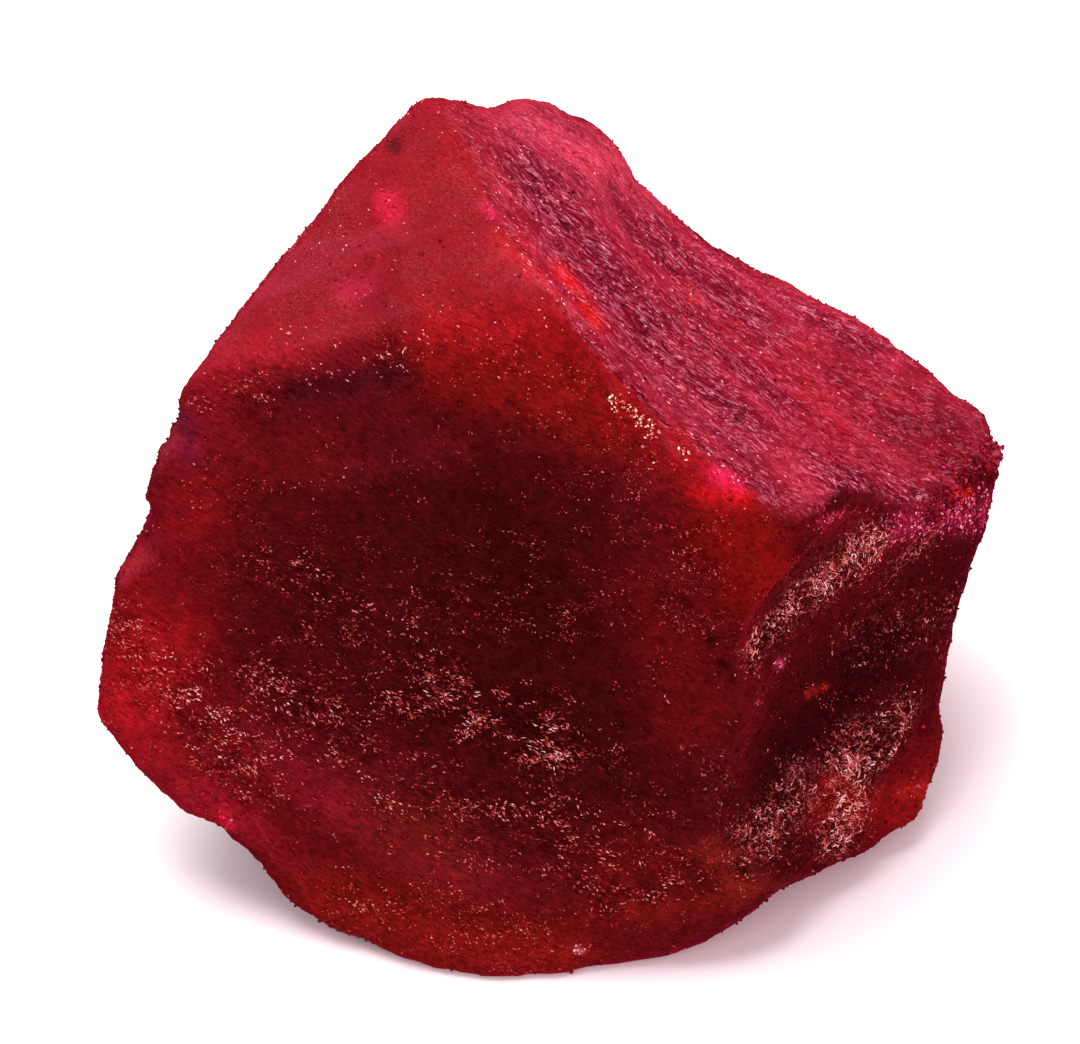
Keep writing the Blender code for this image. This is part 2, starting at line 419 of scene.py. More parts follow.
@dataclass(frozen=True)
class BrokenRuby:
    """Rough corundum as it breaks: a granular, slightly waxy skin over deep red stone.

    Sizes are in mm. The finest real grains and fibres are a few hundredths of a millimetre wide and would
    not show, so the fine patterns are drawn 0.12 mm wide or more.
    """

    name: str = "broken_ruby_corundum"
    roughness: float = 0.6
    ior: float = 1.77
    mottle: float = 0.8
    weave: GrainFrame = GrainFrame(FRONT_GRAIN, Face.FRONT.value, (0.34, 0.14, 0.15))
    grain_height: float = 0.1
    fibre: float = 0.12
    crests_per_mm: float = 3.5
    rim: float = 0.34
    rim_breaks: float = 2.6
    # Each line follows a level of its noise. The second number is how far from it the line fades out.
    valley_level: Span = (0.43, 0.06)
    crest_level: Span = (0.54, 0.07)
    rim_level: Span = (0.5, 0.05)
    paling: float = 1.5
    bloom: str = "#C8184C"
    # Painted light on the slope's crests: rose where faint, pinkish sheen where strong, painted shade beside
    # them.
    rose: str = "#C85070"
    mauve_sheen: str = "#DCA0B4"
    shade: str = "#400A14"
    # A painted pink sheen on the upper faces.
    painted_sheen: str = "#F08898"
    # The painted glints: red where faint, pale where strong.
    lit: str = "#D04848"
    pale: str = "#FFE8E0"
    # Painted shade in the dip inside each glint.
    hollow_shade: str = "#1C0305"

    def build(self) -> bpy.types.Material:
        """Makes the material.

        Returns:
            The finished material.
        """
        material, tree = new_material(self.name)
        colour = add_node(tree, "Attribute", {"attribute_name": "body_colour"}, "Color")
        colour, relief = self.mottled(tree, colour)
        for layer in (self.fibred, self.glinted):
            colour, height = layer(tree, colour)
            relief = add_node(tree, "Math", {"operation": "ADD", 0: relief, 1: height})
        bump = add_node(tree, "Bump", {"Strength": 1.0, "Distance": self.grain_height * MM, "Height": relief})

        # The broken skin scatters its own shine away, and keeps only a magenta bloom at grazing angles.
        skin = {
            "Base Color": self.sheen_painted(tree, colour),
            "Normal": bump,
            "Roughness": self.roughness,
            "IOR": self.ior,
            "Specular IOR Level": 0.0,
            "Sheen Weight": 0.6,
            "Sheen Roughness": 0.2,
            "Sheen Tint": opaque(self.bloom),
        }
        add_node(tree, "OutputMaterial", {"Surface": add_node(tree, "BsdfPrincipled", skin)})
        return material

    def mottled(self, tree: Tree, colour: Socket) -> tuple[Socket, Socket]:
        """Deepens and pales the red over about a millimetre, as the stone's clearness changes, and finely
        along the grain of the break.

        Args:
            tree: the material's node tree.
            colour: the stone's red.

        Returns:
            The mottled colour, and the fine grain's height for the bump.
        """
        grain = add_node(tree, "Attribute", {"attribute_name": "grain"}, "Fac")
        place = add_node(tree, "TexCoord", {}, "Object")
        noise = {"Scale": 1 / (self.mottle * MM), "Detail": 6.0, "Roughness": 0.68, "Vector": place}
        cloud = add_node(tree, "TexNoise", noise)
        noise = {"Detail": 2.0, "Roughness": 0.55, "Distortion": 0.5, "Vector": self.weave.lay(tree)}
        woven = add_node(tree, "TexNoise", {"Scale": 1.0, **noise})
        colour = self.deepened(tree, colour, cloud, (0.3, 0.7), (-0.40, 0.40), grain)
        colour = self.deepened(tree, colour, woven, (0.3, 0.7), (-0.46, 0.50), grain)
        return colour, add_node(tree, "Math", {"operation": "MULTIPLY", 0: woven, 1: grain})

    def fibred(self, tree: Tree, colour: Socket) -> tuple[Socket, Socket]:
        """Draws the long slope's fine streaks: painted pinkish sheen on their crests, deep red between them.

        Args:
            tree: the material's node tree.
            colour: the stone's red.

        Returns:
            The streaked colour, and the streaks' height for the bump.
        """
        streaks = add_node(tree, "Attribute", {"attribute_name": "streaks"}, "Fac")
        mauve_sheen = add_node(tree, "Attribute", {"attribute_name": "mauve_sheen"}, "Fac")
        flow = add_node(tree, "Attribute", {"attribute_name": "flow"}, "Vector")
        noise = {"Scale": 1 / self.fibre, "Detail": 3.0, "Roughness": 0.65, "Distortion": 1.0, "Vector": flow}
        fine = add_node(tree, "TexNoise", noise)
        colour = self.deepened(tree, colour, fine, (0.36, 0.64), (-0.65, 0.80), streaks)

        # Thin lines: each pale crest is a painted highlight, with a dark line of painted shade in the
        # valley beside it.
        noise = {"Detail": 2.0, "Roughness": 0.6, "Distortion": 1.2, "Vector": flow}
        level = add_node(tree, "TexNoise", {"Scale": self.crests_per_mm, **noise})
        breaks = add_node(tree, "MapRange", {"From Min": 0.42, "From Max": 0.60, "Value": fine})
        valley = self.line(tree, level, self.valley_level, (streaks,))
        crest = self.line(tree, level, self.crest_level, (breaks, mauve_sheen))
        shaded = {"data_type": "RGBA", 0: valley, 6: colour, 7: opaque(self.shade)}
        colour = self.paled(tree, crest, add_node(tree, "Mix", shaded, 2), self.rose, self.mauve_sheen)
        height = add_node(tree, "Math", {"operation": "MULTIPLY_ADD", 0: fine, 1: 2.0, 2: crest})
        height = add_node(tree, "Math", {"operation": "SUBTRACT", 0: height, 1: valley})
        return colour, add_node(tree, "Math", {"operation": "MULTIPLY", 0: height, 1: streaks})

    def glinted(self, tree: Tree, colour: Socket) -> tuple[Socket, Socket]:
        """Paints glints on the curling edges of a fresh break's grains, each around a dip of painted shade.

        Args:
            tree: the material's node tree.
            colour: the stone's red.

        Returns:
            The colour with its painted glints, and the glint lines' height for the bump.
        """
        fresh = add_node(tree, "Attribute", {"attribute_name": "painted_glints"}, "Fac")
        place = add_node(tree, "TexCoord", {}, "Object")
        scale = 1 / (self.rim * MM)
        noise = {"Scale": scale, "Detail": 1.0, "Roughness": 0.6, "Distortion": 0.6, "Vector": place}
        level = add_node(tree, "TexNoise", noise)
        noise = {"Scale": self.rim_breaks * scale, "Detail": 1.0, "Vector": place}
        breaks = add_node(tree, "TexNoise", noise)
        breaks = add_node(tree, "MapRange", {"From Min": 0.42, "From Max": 0.66, "Value": breaks})
        glint_lines = self.line(tree, level, self.rim_level, (breaks, fresh))
        # Painted shade in the dip inside each curling glint.
        hollow_shade = add_node(tree, "MapRange", {"From Min": 0.54, "From Max": 0.62, "Value": level})
        hollow_shade = add_node(tree, "Math", {"operation": "MULTIPLY", 0: hollow_shade, 1: fresh})
        sunk = add_node(tree, "Mix", {"data_type": "RGBA", 0: hollow_shade, 6: colour, 7: opaque(self.hollow_shade)}, 2)
        return self.paled(tree, glint_lines, sunk, self.lit, self.pale), glint_lines

    def sheen_painted(self, tree: Tree, colour: Socket) -> Socket:
        """Paints a fine pink bloom on the upper faces: a painted sheen, where tiny grains scatter the light.

        Args:
            tree: the material's node tree.
            colour: the stone's red.

        Returns:
            The colour with its painted sheen.
        """
        raised = add_node(tree, "Attribute", {"attribute_name": "painted_sheen"}, "Fac")
        noise = {"Scale": 2.0, "Detail": 2.0, "Roughness": 0.6, "Vector": self.weave.lay(tree)}
        fine = add_node(tree, "TexNoise", noise)
        span = {"From Min": 0.45, "From Max": 0.75, "To Min": 0.0, "To Max": 0.07, "Value": fine}
        share = add_node(tree, "MapRange", span)
        share = add_node(tree, "Math", {"operation": "MULTIPLY", 0: share, 1: raised})
        return add_node(tree, "Mix", {"data_type": "RGBA", 0: share, 6: colour, 7: opaque(self.painted_sheen)}, 2)

    def deepened(
        self, tree: Tree, colour: Socket, noise: Socket, levels: Span, depths: Span, strength: Socket
    ) -> Socket:
        """Makes the red deeper and paler by a noise.

        Args:
            tree: the material's node tree.
            colour: the stone's red.
            noise: the noise.
            levels: the noise's usual range.
            depths: how much brighter the red is at each end of that range.
            strength: how fully the change shows.

        Returns:
            The changed colour.
        """
        names = ("From Min", "From Max", "To Min", "To Max")
        depth = add_node(tree, "MapRange", {**dict(zip(names, levels + depths)), "Value": noise})
        depth = add_node(tree, "Math", {"operation": "MULTIPLY_ADD", 0: depth, 1: strength, 2: 1.0})
        return add_node(tree, "VectorMath", {"operation": "SCALE", 0: colour, "Scale": depth})

    def line(self, tree: Tree, noise: Socket, level: Span, shares: tuple[Socket, ...]) -> Socket:
        """Picks out a thin line where a noise passes a level.

        Args:
            tree: the material's node tree.
            noise: the noise.
            level: the level, and how far from it the line fades out.
            shares: what weakens or breaks the line.

        Returns:
            1 on the full line and 0 away from it.
        """
        middle, reach = level
        away = add_node(tree, "Math", {"operation": "SUBTRACT", 0: noise, 1: middle})
        away = add_node(tree, "Math", {"operation": "ABSOLUTE", 0: away})
        line = add_node(tree, "MapRange", {"From Min": reach, "From Max": 0.0, "Value": away})
        for share in shares:
            line = add_node(tree, "Math", {"operation": "MULTIPLY", 0: line, 1: share})
        return line

    def paled(self, tree: Tree, share: Socket, colour: Socket, red: str, pale: str) -> Socket:
        """Paints a highlight by way of clear red, so that faint lines stay red and only strong ones pale.

        Args:
            tree: the material's node tree.
            share: how strong the line is.
            colour: the stone's colour.
            red: the colour of a faint line.
            pale: the colour of a strong line.

        Returns:
            The colour with its painted highlight.
        """
        strong = add_node(tree, "Math", {"operation": "POWER", 0: share, 1: self.paling})
        for cover, above in ((share, red), (strong, pale)):
            colour = add_node(tree, "Mix", {"data_type": "RGBA", 0: cover, 6: colour, 7: opaque(above)}, 2)
        return colour


@dataclass(frozen=True)
class CrystalGrain:
    """Single corundum grains, as they part from the stone: each one's colour is painted on it."""

    name: str
    roughness: float
    shine: float
    tint: str
    ior: float = 1.77

    def build(self) -> bpy.types.Material:
        """Makes the material.

        Returns:
            The finished material.
        """
        material, tree = new_material(self.name)
        facets = {
            "Base Color": add_node(tree, "Attribute", {"attribute_name": "grain_colour"}, "Color"),
            "Roughness": self.roughness,
            "IOR": self.ior,
            "Specular IOR Level": self.shine,
            "Specular Tint": opaque(self.tint),
        }
        add_node(tree, "OutputMaterial", {"Surface": add_node(tree, "BsdfPrincipled", facets)})
        return material


# Freshly parted facets are fairly smooth: a faint warm gloss lifts the flashes that are painted on them.
GLASSY_GRAIN = CrystalGrain("glassy_ruby_grain", 0.35, 0.05, "#FFC0BC")
# Weathered facets have no gloss left, so these grains stay in the stone's own red.
DULL_GRAIN = CrystalGrain("dull_ruby_grain", 0.6, 0.0, "#FF4048")


# ---- Skin ----


@dataclass(frozen=True)
class Patch:
    """A soft-edged patch of colour, the stone's own or else painted glow or shade: the stretch between two
    pixels of the view, its radius in mm, its colour, how fully it covers, and how many grains of that
    colour are strewn on it."""

    name: str
    start: Pixel
    end: Pixel
    radius: float
    colour: str
    cover: float
    grains: int = 0


@dataclass(frozen=True)
class Band:
    """A stretch between two pixels of the view where a detail crowds: its radius in mm and its strength."""

    start: Pixel
    end: Pixel
    radius: float
    strength: float


PATCHES = (
    # Broad zones of the upper faces.
    Patch("brow_wash", (330, 310), (430, 190), 5.5, "#771219", 0.95),
    Patch("brow_right_wash", (470, 190), (500, 300), 3.0, "#80161E", 0.9),
    Patch("slope_wash", (620, 250), (900, 430), 4.5, "#7E1420", 0.95),
    Patch("fold_wash", (540, 200), (640, 320), 1.6, "#74182A", 0.7),
    Patch("low_fold_wash", (600, 345), (750, 445), 1.1, "#6E1828", 0.75),
    Patch("crown_wash", (530, 130), (600, 170), 2.2, "#AA3246", 0.8),
    Patch("ridge_side_glow", (560, 330), (710, 470), 1.3, "#880C0C", 0.6),
    # Broad zones of the front break.
    Patch("front_wash", (420, 560), (600, 800), 7.5, "#3C090A", 0.92),
    Patch("front_heart", (480, 500), (560, 660), 3.6, "#320606", 0.85),
    Patch("front_low_heart", (440, 680), (600, 760), 2.4, "#300708", 0.5),
    Patch("left_mid_wash", (200, 560), (260, 520), 2.6, "#480A0B", 0.7),
    Patch("left_corner_glow", (125, 710), (150, 640), 2.2, "#92121A", 0.85),
    Patch("left_edge_glow", (160, 560), (205, 470), 1.6, "#7C0F18", 0.6),
    Patch("front_top_glow", (440, 350), (600, 400), 2.4, "#6E0E0D", 0.85),
    Patch("front_corner_glow", (735, 520), (765, 580), 2.2, "#6A0C0B", 0.85),
    Patch("front_right_wash", (650, 600), (690, 720), 2.0, "#5A0B0B", 0.7),
    Patch("foot_glow", (330, 900), (560, 950), 1.8, "#6C120C", 0.75),
    Patch("foot_brown", (400, 820), (450, 850), 1.8, "#58140E", 0.6),
    Patch("low_right_wash", (620, 860), (720, 860), 1.8, "#600E0C", 0.75),
    Patch("foot_right_wash", (630, 910), (720, 905), 0.9, "#6C1412", 0.75),
    Patch("left_band_wash", (225, 462), (330, 455), 1.6, "#4E0A0A", 0.75),
    # Painted shade in the hollow just under the brow's edge.
    Patch("under_brow_shade", (300, 392), (400, 372), 0.8, "#3A0C14", 0.8),
    Patch("front_peak_glow", (430, 322), (530, 325), 1.1, "#9C161A", 0.5),
    Patch("brow_foot_glow", (225, 366), (310, 346), 1.0, "#961A28", 0.5),
    # Painted shade at the left end of the hollow under the brow's edge.
    Patch("left_under_brow_shade", (183, 420), (190, 455), 0.6, "#4A1028", 0.6),
    # Spots of the upper faces.
    Patch("rose_spot", (388, 200), (392, 212), 0.6, "#C01E3C", 0.7, 40),
    Patch("low_rose_spot", (345, 292), (365, 286), 0.7, "#B02440", 0.45, 10),
    Patch("brow_edge_rose", (488, 206), (492, 214), 0.3, "#C42850", 0.5, 10),
    Patch("brow_edge_red", (522, 240), (530, 250), 0.3, "#C0203C", 0.5, 12),
    # Painted shade of a shallow pit.
    Patch("brow_pit", (370, 298), (410, 318), 0.5, "#5A1020", 0.4),
    Patch("crown_rose", (590, 150), (648, 195), 1.1, "#B8384E", 0.5),
    Patch("far_edge_rose", (712, 256), (890, 360), 0.75, "#B42C4A", 0.55),
    # Painted glow of light through the thin ridge, in orange reds.
    Patch("ridge_fire_glow", (566, 278), (590, 318), 0.75, "#D41A0A", 0.85, 30),
    Patch("ridge_ember_glow", (500, 240), (548, 285), 0.5, "#B02424", 0.6, 30),
    Patch("slope_low_wash", (850, 415), (935, 450), 1.6, "#7A121A", 0.5),
    Patch("slope_pool", (770, 375), (830, 412), 1.2, "#981624", 0.6),
    Patch("slope_spot", (690, 296), (700, 299), 0.3, "#BC262C", 0.5, 14),
    Patch("slope_low_spot", (868, 411), (872, 413), 0.2, "#BC2A50", 0.6, 12),
    Patch("ridge_side_ember", (610, 425), (700, 480), 0.6, "#A01C1A", 0.05, 40),
    Patch("magenta_tip", (720, 474), (738, 484), 0.5, "#CA2048", 0.9, 24),
    Patch("tip_ember", (700, 492), (745, 500), 0.45, "#B41418", 0.6, 10),
    # Painted shade of a small pit.
    Patch("crown_pit", (393, 146), (397, 149), 0.26, "#3A1018", 0.85),
    # Right break.
    Patch("right_wash", (790, 820), (960, 560), 5.0, "#300609", 0.92),
    Patch("valley_shade", (770, 770), (890, 650), 1.4, "#200407", 0.75),
    Patch("ledge_shade", (712, 640), (800, 562), 0.5, "#240505", 0.8),
    Patch("ledge_top_shade", (798, 552), (834, 506), 0.5, "#2C0508", 0.75),
    Patch("slope_lip_shade", (840, 506), (892, 514), 0.45, "#2C050A", 0.7),
    Patch("right_magenta", (900, 525), (985, 512), 0.85, "#B02852", 0.18, 560),
    Patch("right_pink", (915, 530), (980, 500), 0.75, "#D86C90", 0.0, 120),
    Patch("right_end_ember", (955, 494), (968, 494), 0.35, "#C01C14", 0.5, 20),
    Patch("ledge_rose", (820, 522), (840, 516), 0.4, "#B02444", 0.15, 60),
    Patch("valley_rose", (777, 662), (783, 665), 0.2, "#C85078", 0.2, 22),
    Patch("valley_ember", (808, 694), (826, 686), 0.18, "#A02014", 0.35, 16),
    Patch("lobe_red", (915, 800), (900, 840), 1.2, "#70100F", 0.8),
    Patch("lobe_ember", (905, 792), (922, 786), 0.3, "#B82C24", 0.15, 22),
    Patch("low_ember", (825, 782), (840, 778), 0.25, "#B01C20", 0.3, 14),
    # Painted shade of a small pit.
    Patch("ledge_pit", (721, 661), (723, 664), 0.2, "#140406", 0.9),
    Patch("lip_brown", (735, 880), (785, 885), 0.7, "#581614", 0.6),
    Patch("lip_glow", (712, 850), (748, 884), 0.8, "#6C1A14", 0.7),
    # Painted shade of a small pit.
    Patch("lip_pit", (739, 866), (744, 871), 0.32, "#0C0304", 0.95),
    Patch("left_low_rose", (226, 818), (230, 824), 0.3, "#C0203C", 0.6, 12),
    Patch("foot_bead", (576, 949), (581, 951), 0.14, "#E09098", 0.3, 10),
)

# The thin front foot, which glows through to the contact shadow, and how far the glow reaches.
FRONT_FOOT = ((600.0, 925.0), (790.0, 830.0))
FOOT_REACH = 5.0

# Where the painted sheen on the slope's crests crowds.
MAUVE_SHEEN_BANDS = (
    Band((540, 180), (640, 330), 1.6, 0.9),
    Band((575, 330), (660, 420), 0.55, 0.8),
    Band((640, 330), (740, 420), 1.4, 0.55),
    Band((700, 445), (772, 498), 0.5, 0.8),
    Band((660, 240), (760, 320), 1.4, 0.7),
    Band((830, 470), (930, 500), 0.9, 0.6),
    Band((700, 245), (870, 345), 0.7, 0.4),
    Band((680, 320), (770, 390), 1.5, 0.8),
)

FLECK_BANDS = (
    Band((450, 690), (545, 745), 1.9, 1.0),
    Band((380, 690), (440, 720), 1.3, 0.6),
    Band((270, 560), (350, 600), 1.4, 0.55),
    Band((130, 640), (250, 760), 1.8, 0.75),
    Band((260, 690), (360, 740), 1.6, 0.7),
    Band((400, 780), (620, 860), 2.2, 0.55),
    Band((330, 880), (520, 930), 1.6, 0.35),
    Band((640, 590), (700, 620), 1.0, 0.35),
    Band((560, 430), (640, 520), 1.8, 0.12),
    Band((300, 640), (560, 600), 3.5, 0.25),
    Band((620, 780), (690, 860), 1.8, 0.2),
    Band((390, 345), (400, 380), 0.7, 0.6),
    Band((210, 400), (290, 385), 0.8, 0.5),
    Band((620, 895), (760, 850), 1.1, 0.55),
    Band((680, 540), (740, 610), 0.9, 0.35),
    Band((650, 420), (660, 520), 0.8, 0.25),
)

WORM_BANDS = (
    Band((872, 542), (822, 582), 0.95, 1.0),
    Band((795, 600), (750, 650), 0.75, 0.75),
    Band((945, 615), (850, 640), 1.3, 0.14),
    Band((905, 722), (865, 748), 1.1, 0.85),
    Band((850, 765), (840, 835), 1.1, 1.0),
    Band((805, 790), (750, 838), 1.2, 0.55),
    Band((925, 535), (890, 570), 0.9, 0.30),
    Band((720, 760), (720, 850), 0.8, 0.10),
)

KNOB_BANDS = (
    Band((993, 452), (986, 545), 0.8, 1.0),
    Band((975, 455), (940, 440), 0.5, 0.4),
    Band((178, 410), (165, 470), 0.5, 0.25),
)

# Painted glow of light through the stone: its reds from the thick heart to the glowing thin edges,
# and how much light comes through at each.
THROUGH_GLOW_REDS = ("#3E080B", "#5A0C10", "#8A1422", "#B02A44")
THROUGH_GLOW_STOPS = (0.0, 0.10, 0.28, 0.55)

# The patterns of lumps on the skin and in its colour: spacing in mm, layers and seed.
BROAD_LUMPS = Lumps(1.6, 3, 5)
BREAK_LUMPS = Lumps(0.6, 2, 6)
FIBRE_RIDGES = Lumps(0.62, 2, 7)
FIBRE_SWELLS = Lumps(1.9, 1, 8)
KNOBS = Lumps(0.7, 2, 12)
SHEEN_CLOUDS = Lumps(2.2, 3, 21)
GLINT_PATCHES = Lumps(1.2, 2, 22)
BROW_SWIRLS = Lumps(2.6, 3, 33)
SLOPE_SWIRLS = Lumps(1.1, 3, 34)
FAR_BREAKS = Lumps(9.0, 1, 60)
GRIT_SEED = 9
PATCH_SEED = 31


@dataclass
class Skin:
    """The stone's fine skin: its mesh, its relief and the colours that it is painted with."""

    view: ViewFrame
    finish: BrokenRuby = field(default_factory=BrokenRuby)
    spacing: float = 0.233
    smooth_passes: int = 8
    broad_passes: int = 40
    face_span: Span = (0.80, 0.93)
    # The slope's fibres: which way they run, how much longer than wide, and how they fan out and bend.
    slope_along: Triple = (0.66, -0.36, -0.48)
    fibre_stretch: float = 4.5
    fan: float = 0.009
    bend: float = 0.0097
    flow_start: Triple = (-4.0, 3.0, 31.0)
    # Heights of the relief in mm, and the heights over the floor where it fades in.
    broad_height: float = 0.055
    break_height: float = 0.035
    right_height: float = 0.06
    ridge_height: float = 0.115
    swell_height: float = 0.13
    grit_height: float = 0.016
    knob_height: float = 0.7
    knob_span: Span = (0.15, 0.55)
    foot_fade: Span = (0.05, 0.6)
    # No grain stands lower than this, where it would go through the floor.
    bare_foot: float = 0.35
    # Light comes through the stone on several slanting paths, and halves in about two millimetres.
    path_start: float = 0.4
    path_tilt: float = 0.9
    clear_depth: float = 3.2
    glow_passes: int = 10
    # The brow's swirls are drawn out this way, to four times their width.
    brow_along: Triple = (0.9, 0.1, 0.5)
    brow_stretch: float = 4.0
    # How ragged the edge of a patch is, as a share of its radius.
    patch_ragged: float = 0.25
    points: Numbers = field(init=False)
    normals: Numbers = field(init=False)
    broad: Numbers = field(init=False)
    triangles: Numbers = field(init=False)
    shares: dict = field(init=False)
    brow: Numbers = field(init=False)
    flow: Numbers = field(init=False)
    colour: Numbers = field(init=False)
    search: BVHTree = field(init=False)
    piece: Thing = field(init=False)

    def build(self, solid: Thing) -> None:
        """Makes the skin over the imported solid, raises its relief and paints it.

        Args:
            solid: the CAD node that the skin stands for.
        """
        self.make_even_mesh(solid)
        self.find_faces()
        self.lay_flow()
        self.search = BVHTree.FromPolygons(self.points.tolist(), self.triangles.tolist())
        self.raise_relief()
        self.search = BVHTree.FromPolygons(self.points.tolist(), self.triangles.tolist())
        self.piece = mesh_object("ruby_skin", self.points, self.triangles)
        self.piece.data.shade_smooth()
        self.piece.data.materials.append(self.finish.build())
        self.dress(solid)

    def dress(self, solid: Thing) -> None:
        """Stores the skin's colour and the crowding of each detail, for the finish to read.

        Args:
            solid: the CAD node that the skin stands for.
        """
        slope, bloom = self.shares[Face.SLOPE], self.crowd(MAUVE_SHEEN_BANDS)
        self.colour = self.body_colour(solid)
        upper = np.clip(slope * 0.6 + self.brow, 0.0, 1.0)
        worms = np.minimum(self.crowd(WORM_BANDS) * 1.3, 0.9)
        # The details are 0 where there is none, and about 1 where they are at their fullest.
        painted = {
            "body_colour": self.colour,
            "flow": self.flow,
            "grain": 0.75 + 0.5 * self.crowd(FLECK_BANDS) - 0.4 * self.brow - 0.5 * slope,
            # Where the breaks get painted glints.
            "painted_glints": worms * (0.35 + 0.65 * ramp(GLINT_PATCHES.at(self.points), -0.4, 0.3)),
            # Where the slope's crests get painted sheen, and where its streaks and their painted shade show.
            "mauve_sheen": np.clip((0.3 + 1.1 * bloom) * slope, 0.0, 1.0),
            "streaks": slope * np.clip(0.4 + 0.8 * bloom, 0.0, 1.1),
            # A painted sheen on the upper faces, in soft clouds.
            "painted_sheen": upper * (0.35 + ramp(SHEEN_CLOUDS.at(self.points), -0.5, 0.6)),
        }
        for name, values in painted.items():
            paint(self.piece, name, values)

    def crowd(self, bands: tuple[Band, ...]) -> Numbers:
        """How strongly a detail crowds at each point.

        Args:
            bands: the stretches where it crowds.

        Returns:
            The strength at each point.
        """
        total = np.zeros(len(self.points))
        for band in bands:
            away = self.distance_to(band.start, band.end) / band.radius
            total = np.maximum(total, band.strength * np.exp(-away * away))
        return total

    def make_even_mesh(self, solid: Thing) -> None:
        """Covers the solid with small, even faces and rounds the solid's facets away.

        Args:
            solid: the CAD node.
        """
        copy = bpy.data.objects.new("even", solid.data.copy())
        bpy.context.scene.collection.objects.link(copy)
        remesh = copy.modifiers.new("even", "REMESH")
        remesh.mode = "VOXEL"
        remesh.voxel_size = self.spacing * MM
        rounding = copy.modifiers.new("rounding", "SMOOTH")
        rounding.factor = 0.5
        rounding.iterations = self.smooth_passes
        split = copy.modifiers.new("split", "TRIANGULATE")
        split.quad_method = "SHORTEST_DIAGONAL"
        even = copy.evaluated_get(bpy.context.evaluated_depsgraph_get()).to_mesh()
        points = np.empty(len(even.vertices) * 3)
        even.vertices.foreach_get("co", points)
        self.points = points.reshape(-1, 3) / MM
        corners = np.empty(len(even.polygons) * 3, np.int32)
        even.loops.foreach_get("vertex_index", corners)
        self.triangles = corners.reshape(-1, 3)
        bpy.data.objects.remove(copy, do_unlink=True)
        self.normals = self.find_normals()

    def find_normals(self) -> Numbers:
        """Works out the skin's direction from the faces around each point.

        Returns:
            A unit vector for each point.
        """
        corners = self.points[self.triangles]
        facing = np.cross(corners[:, 1] - corners[:, 0], corners[:, 2] - corners[:, 0])
        total = np.zeros_like(self.points)
        for corner, axis in itertools.product(range(3), range(3)):
            ends = self.triangles[:, corner]
            total[:, axis] += np.bincount(ends, facing[:, axis], len(self.points))
        return unit(total)

    def soften(self, values: Numbers, passes: int) -> Numbers:
        """Averages values with their neighbours'.

        Args:
            values: one row for each point.
            passes: how many times.

        Returns:
            The softened values.
        """
        sides = [self.triangles[:, side] for side in ((0, 1), (1, 2), (2, 0))]
        start, end = np.concatenate(sides).T
        count = np.bincount(start, minlength=len(self.points))
        for _ in range(passes):
            total = [np.bincount(start, column[end], len(self.points)) for column in values.T]
            values = (np.stack(total, axis=1) / count[:, None] + values) / 2
        return values

    def find_faces(self) -> None:
        """Works out how far each point belongs to each broad face."""
        self.broad = unit(self.soften(self.normals, self.broad_passes))
        self.shares = {face: ramp(self.broad @ unit(face.value), *self.face_span) for face in Face}
        self.brow = self.shares[Face.BROW] * (1.0 - self.shares[Face.FRONT])

    def lay_flow(self) -> None:
        """Lays coordinates along the slope's fibres, which bend and fan out on their way down."""
        out = unit(Face.SLOPE.value)
        along = unit(np.array(self.slope_along) - out * np.dot(self.slope_along, out))
        side = (self.points - self.flow_start) @ np.cross(out, along)
        run = (self.points - self.flow_start) @ along
        lane = side - self.bend / 2 * run**2 - self.fan * side * run
        self.flow = np.stack([lane, run / self.fibre_stretch, self.points @ out], axis=1)

    def raise_relief(self) -> None:
        """Moves each point in or out by the relief of its face."""
        slope, right = self.shares[Face.SLOPE], self.shares[Face.RIGHT]
        grit = np.random.default_rng(GRIT_SEED).normal(0.0, self.grit_height, len(self.points))
        lifted = BROAD_LUMPS.at(self.points) * self.broad_height
        lumpy = (self.break_height + self.right_height * right) * (1 - slope)
        lifted += BREAK_LUMPS.at(self.points) * lumpy
        lifted += FIBRE_RIDGES.at(self.flow) * self.ridge_height * slope
        lifted += FIBRE_SWELLS.at(self.flow) * self.swell_height * slope
        lifted += grit * (1.0 + right - 0.25 * slope) * (1.0 - 0.75 * self.brow)
        knobs = ramp(KNOBS.at(self.points), *self.knob_span)
        lifted += knobs * self.knob_height * self.crowd(KNOB_BANDS)
        lifted *= ramp(self.points[:, 2], *self.foot_fade)
        self.points = self.points + self.normals * lifted[:, None]
        self.normals = self.find_normals()

    def clearness(self, solid: Thing) -> Numbers:
        """How much light comes through the stone at each point: most at thin edges, none over the heart.

        Args:
            solid: the CAD node, whose thickness is measured.

        Returns:
            From 0 to 1 for each point.
        """
        corners = [v.co / MM for v in solid.data.vertices]
        body = BVHTree.FromPolygons(corners, [tuple(p.vertices) for p in solid.data.polygons])
        # No broad face of the stone looks exactly this way, so the cross product is never nought.
        side = unit(np.cross(self.broad, (0.01, 0.01, 1.01)))
        other = np.cross(self.broad, side)
        total = np.zeros(len(self.points))
        starts = (self.points - self.broad * self.path_start).tolist()
        tilt = self.path_tilt
        tilts = [(0.0, 0.0), (tilt, 0.0), (-tilt, 0.0), (0.0, tilt), (0.0, -tilt)]
        for tilt_side, tilt_other in tilts:
            paths = unit(-self.broad + side * tilt_side + other * tilt_other).tolist()
            for index, (start, path) in enumerate(zip(starts, paths)):
                thickness = body.ray_cast(Vector(start), Vector(path))[3] or 0.0
                total[index] += math.exp(-thickness / self.clear_depth)
        return total / len(tilts)

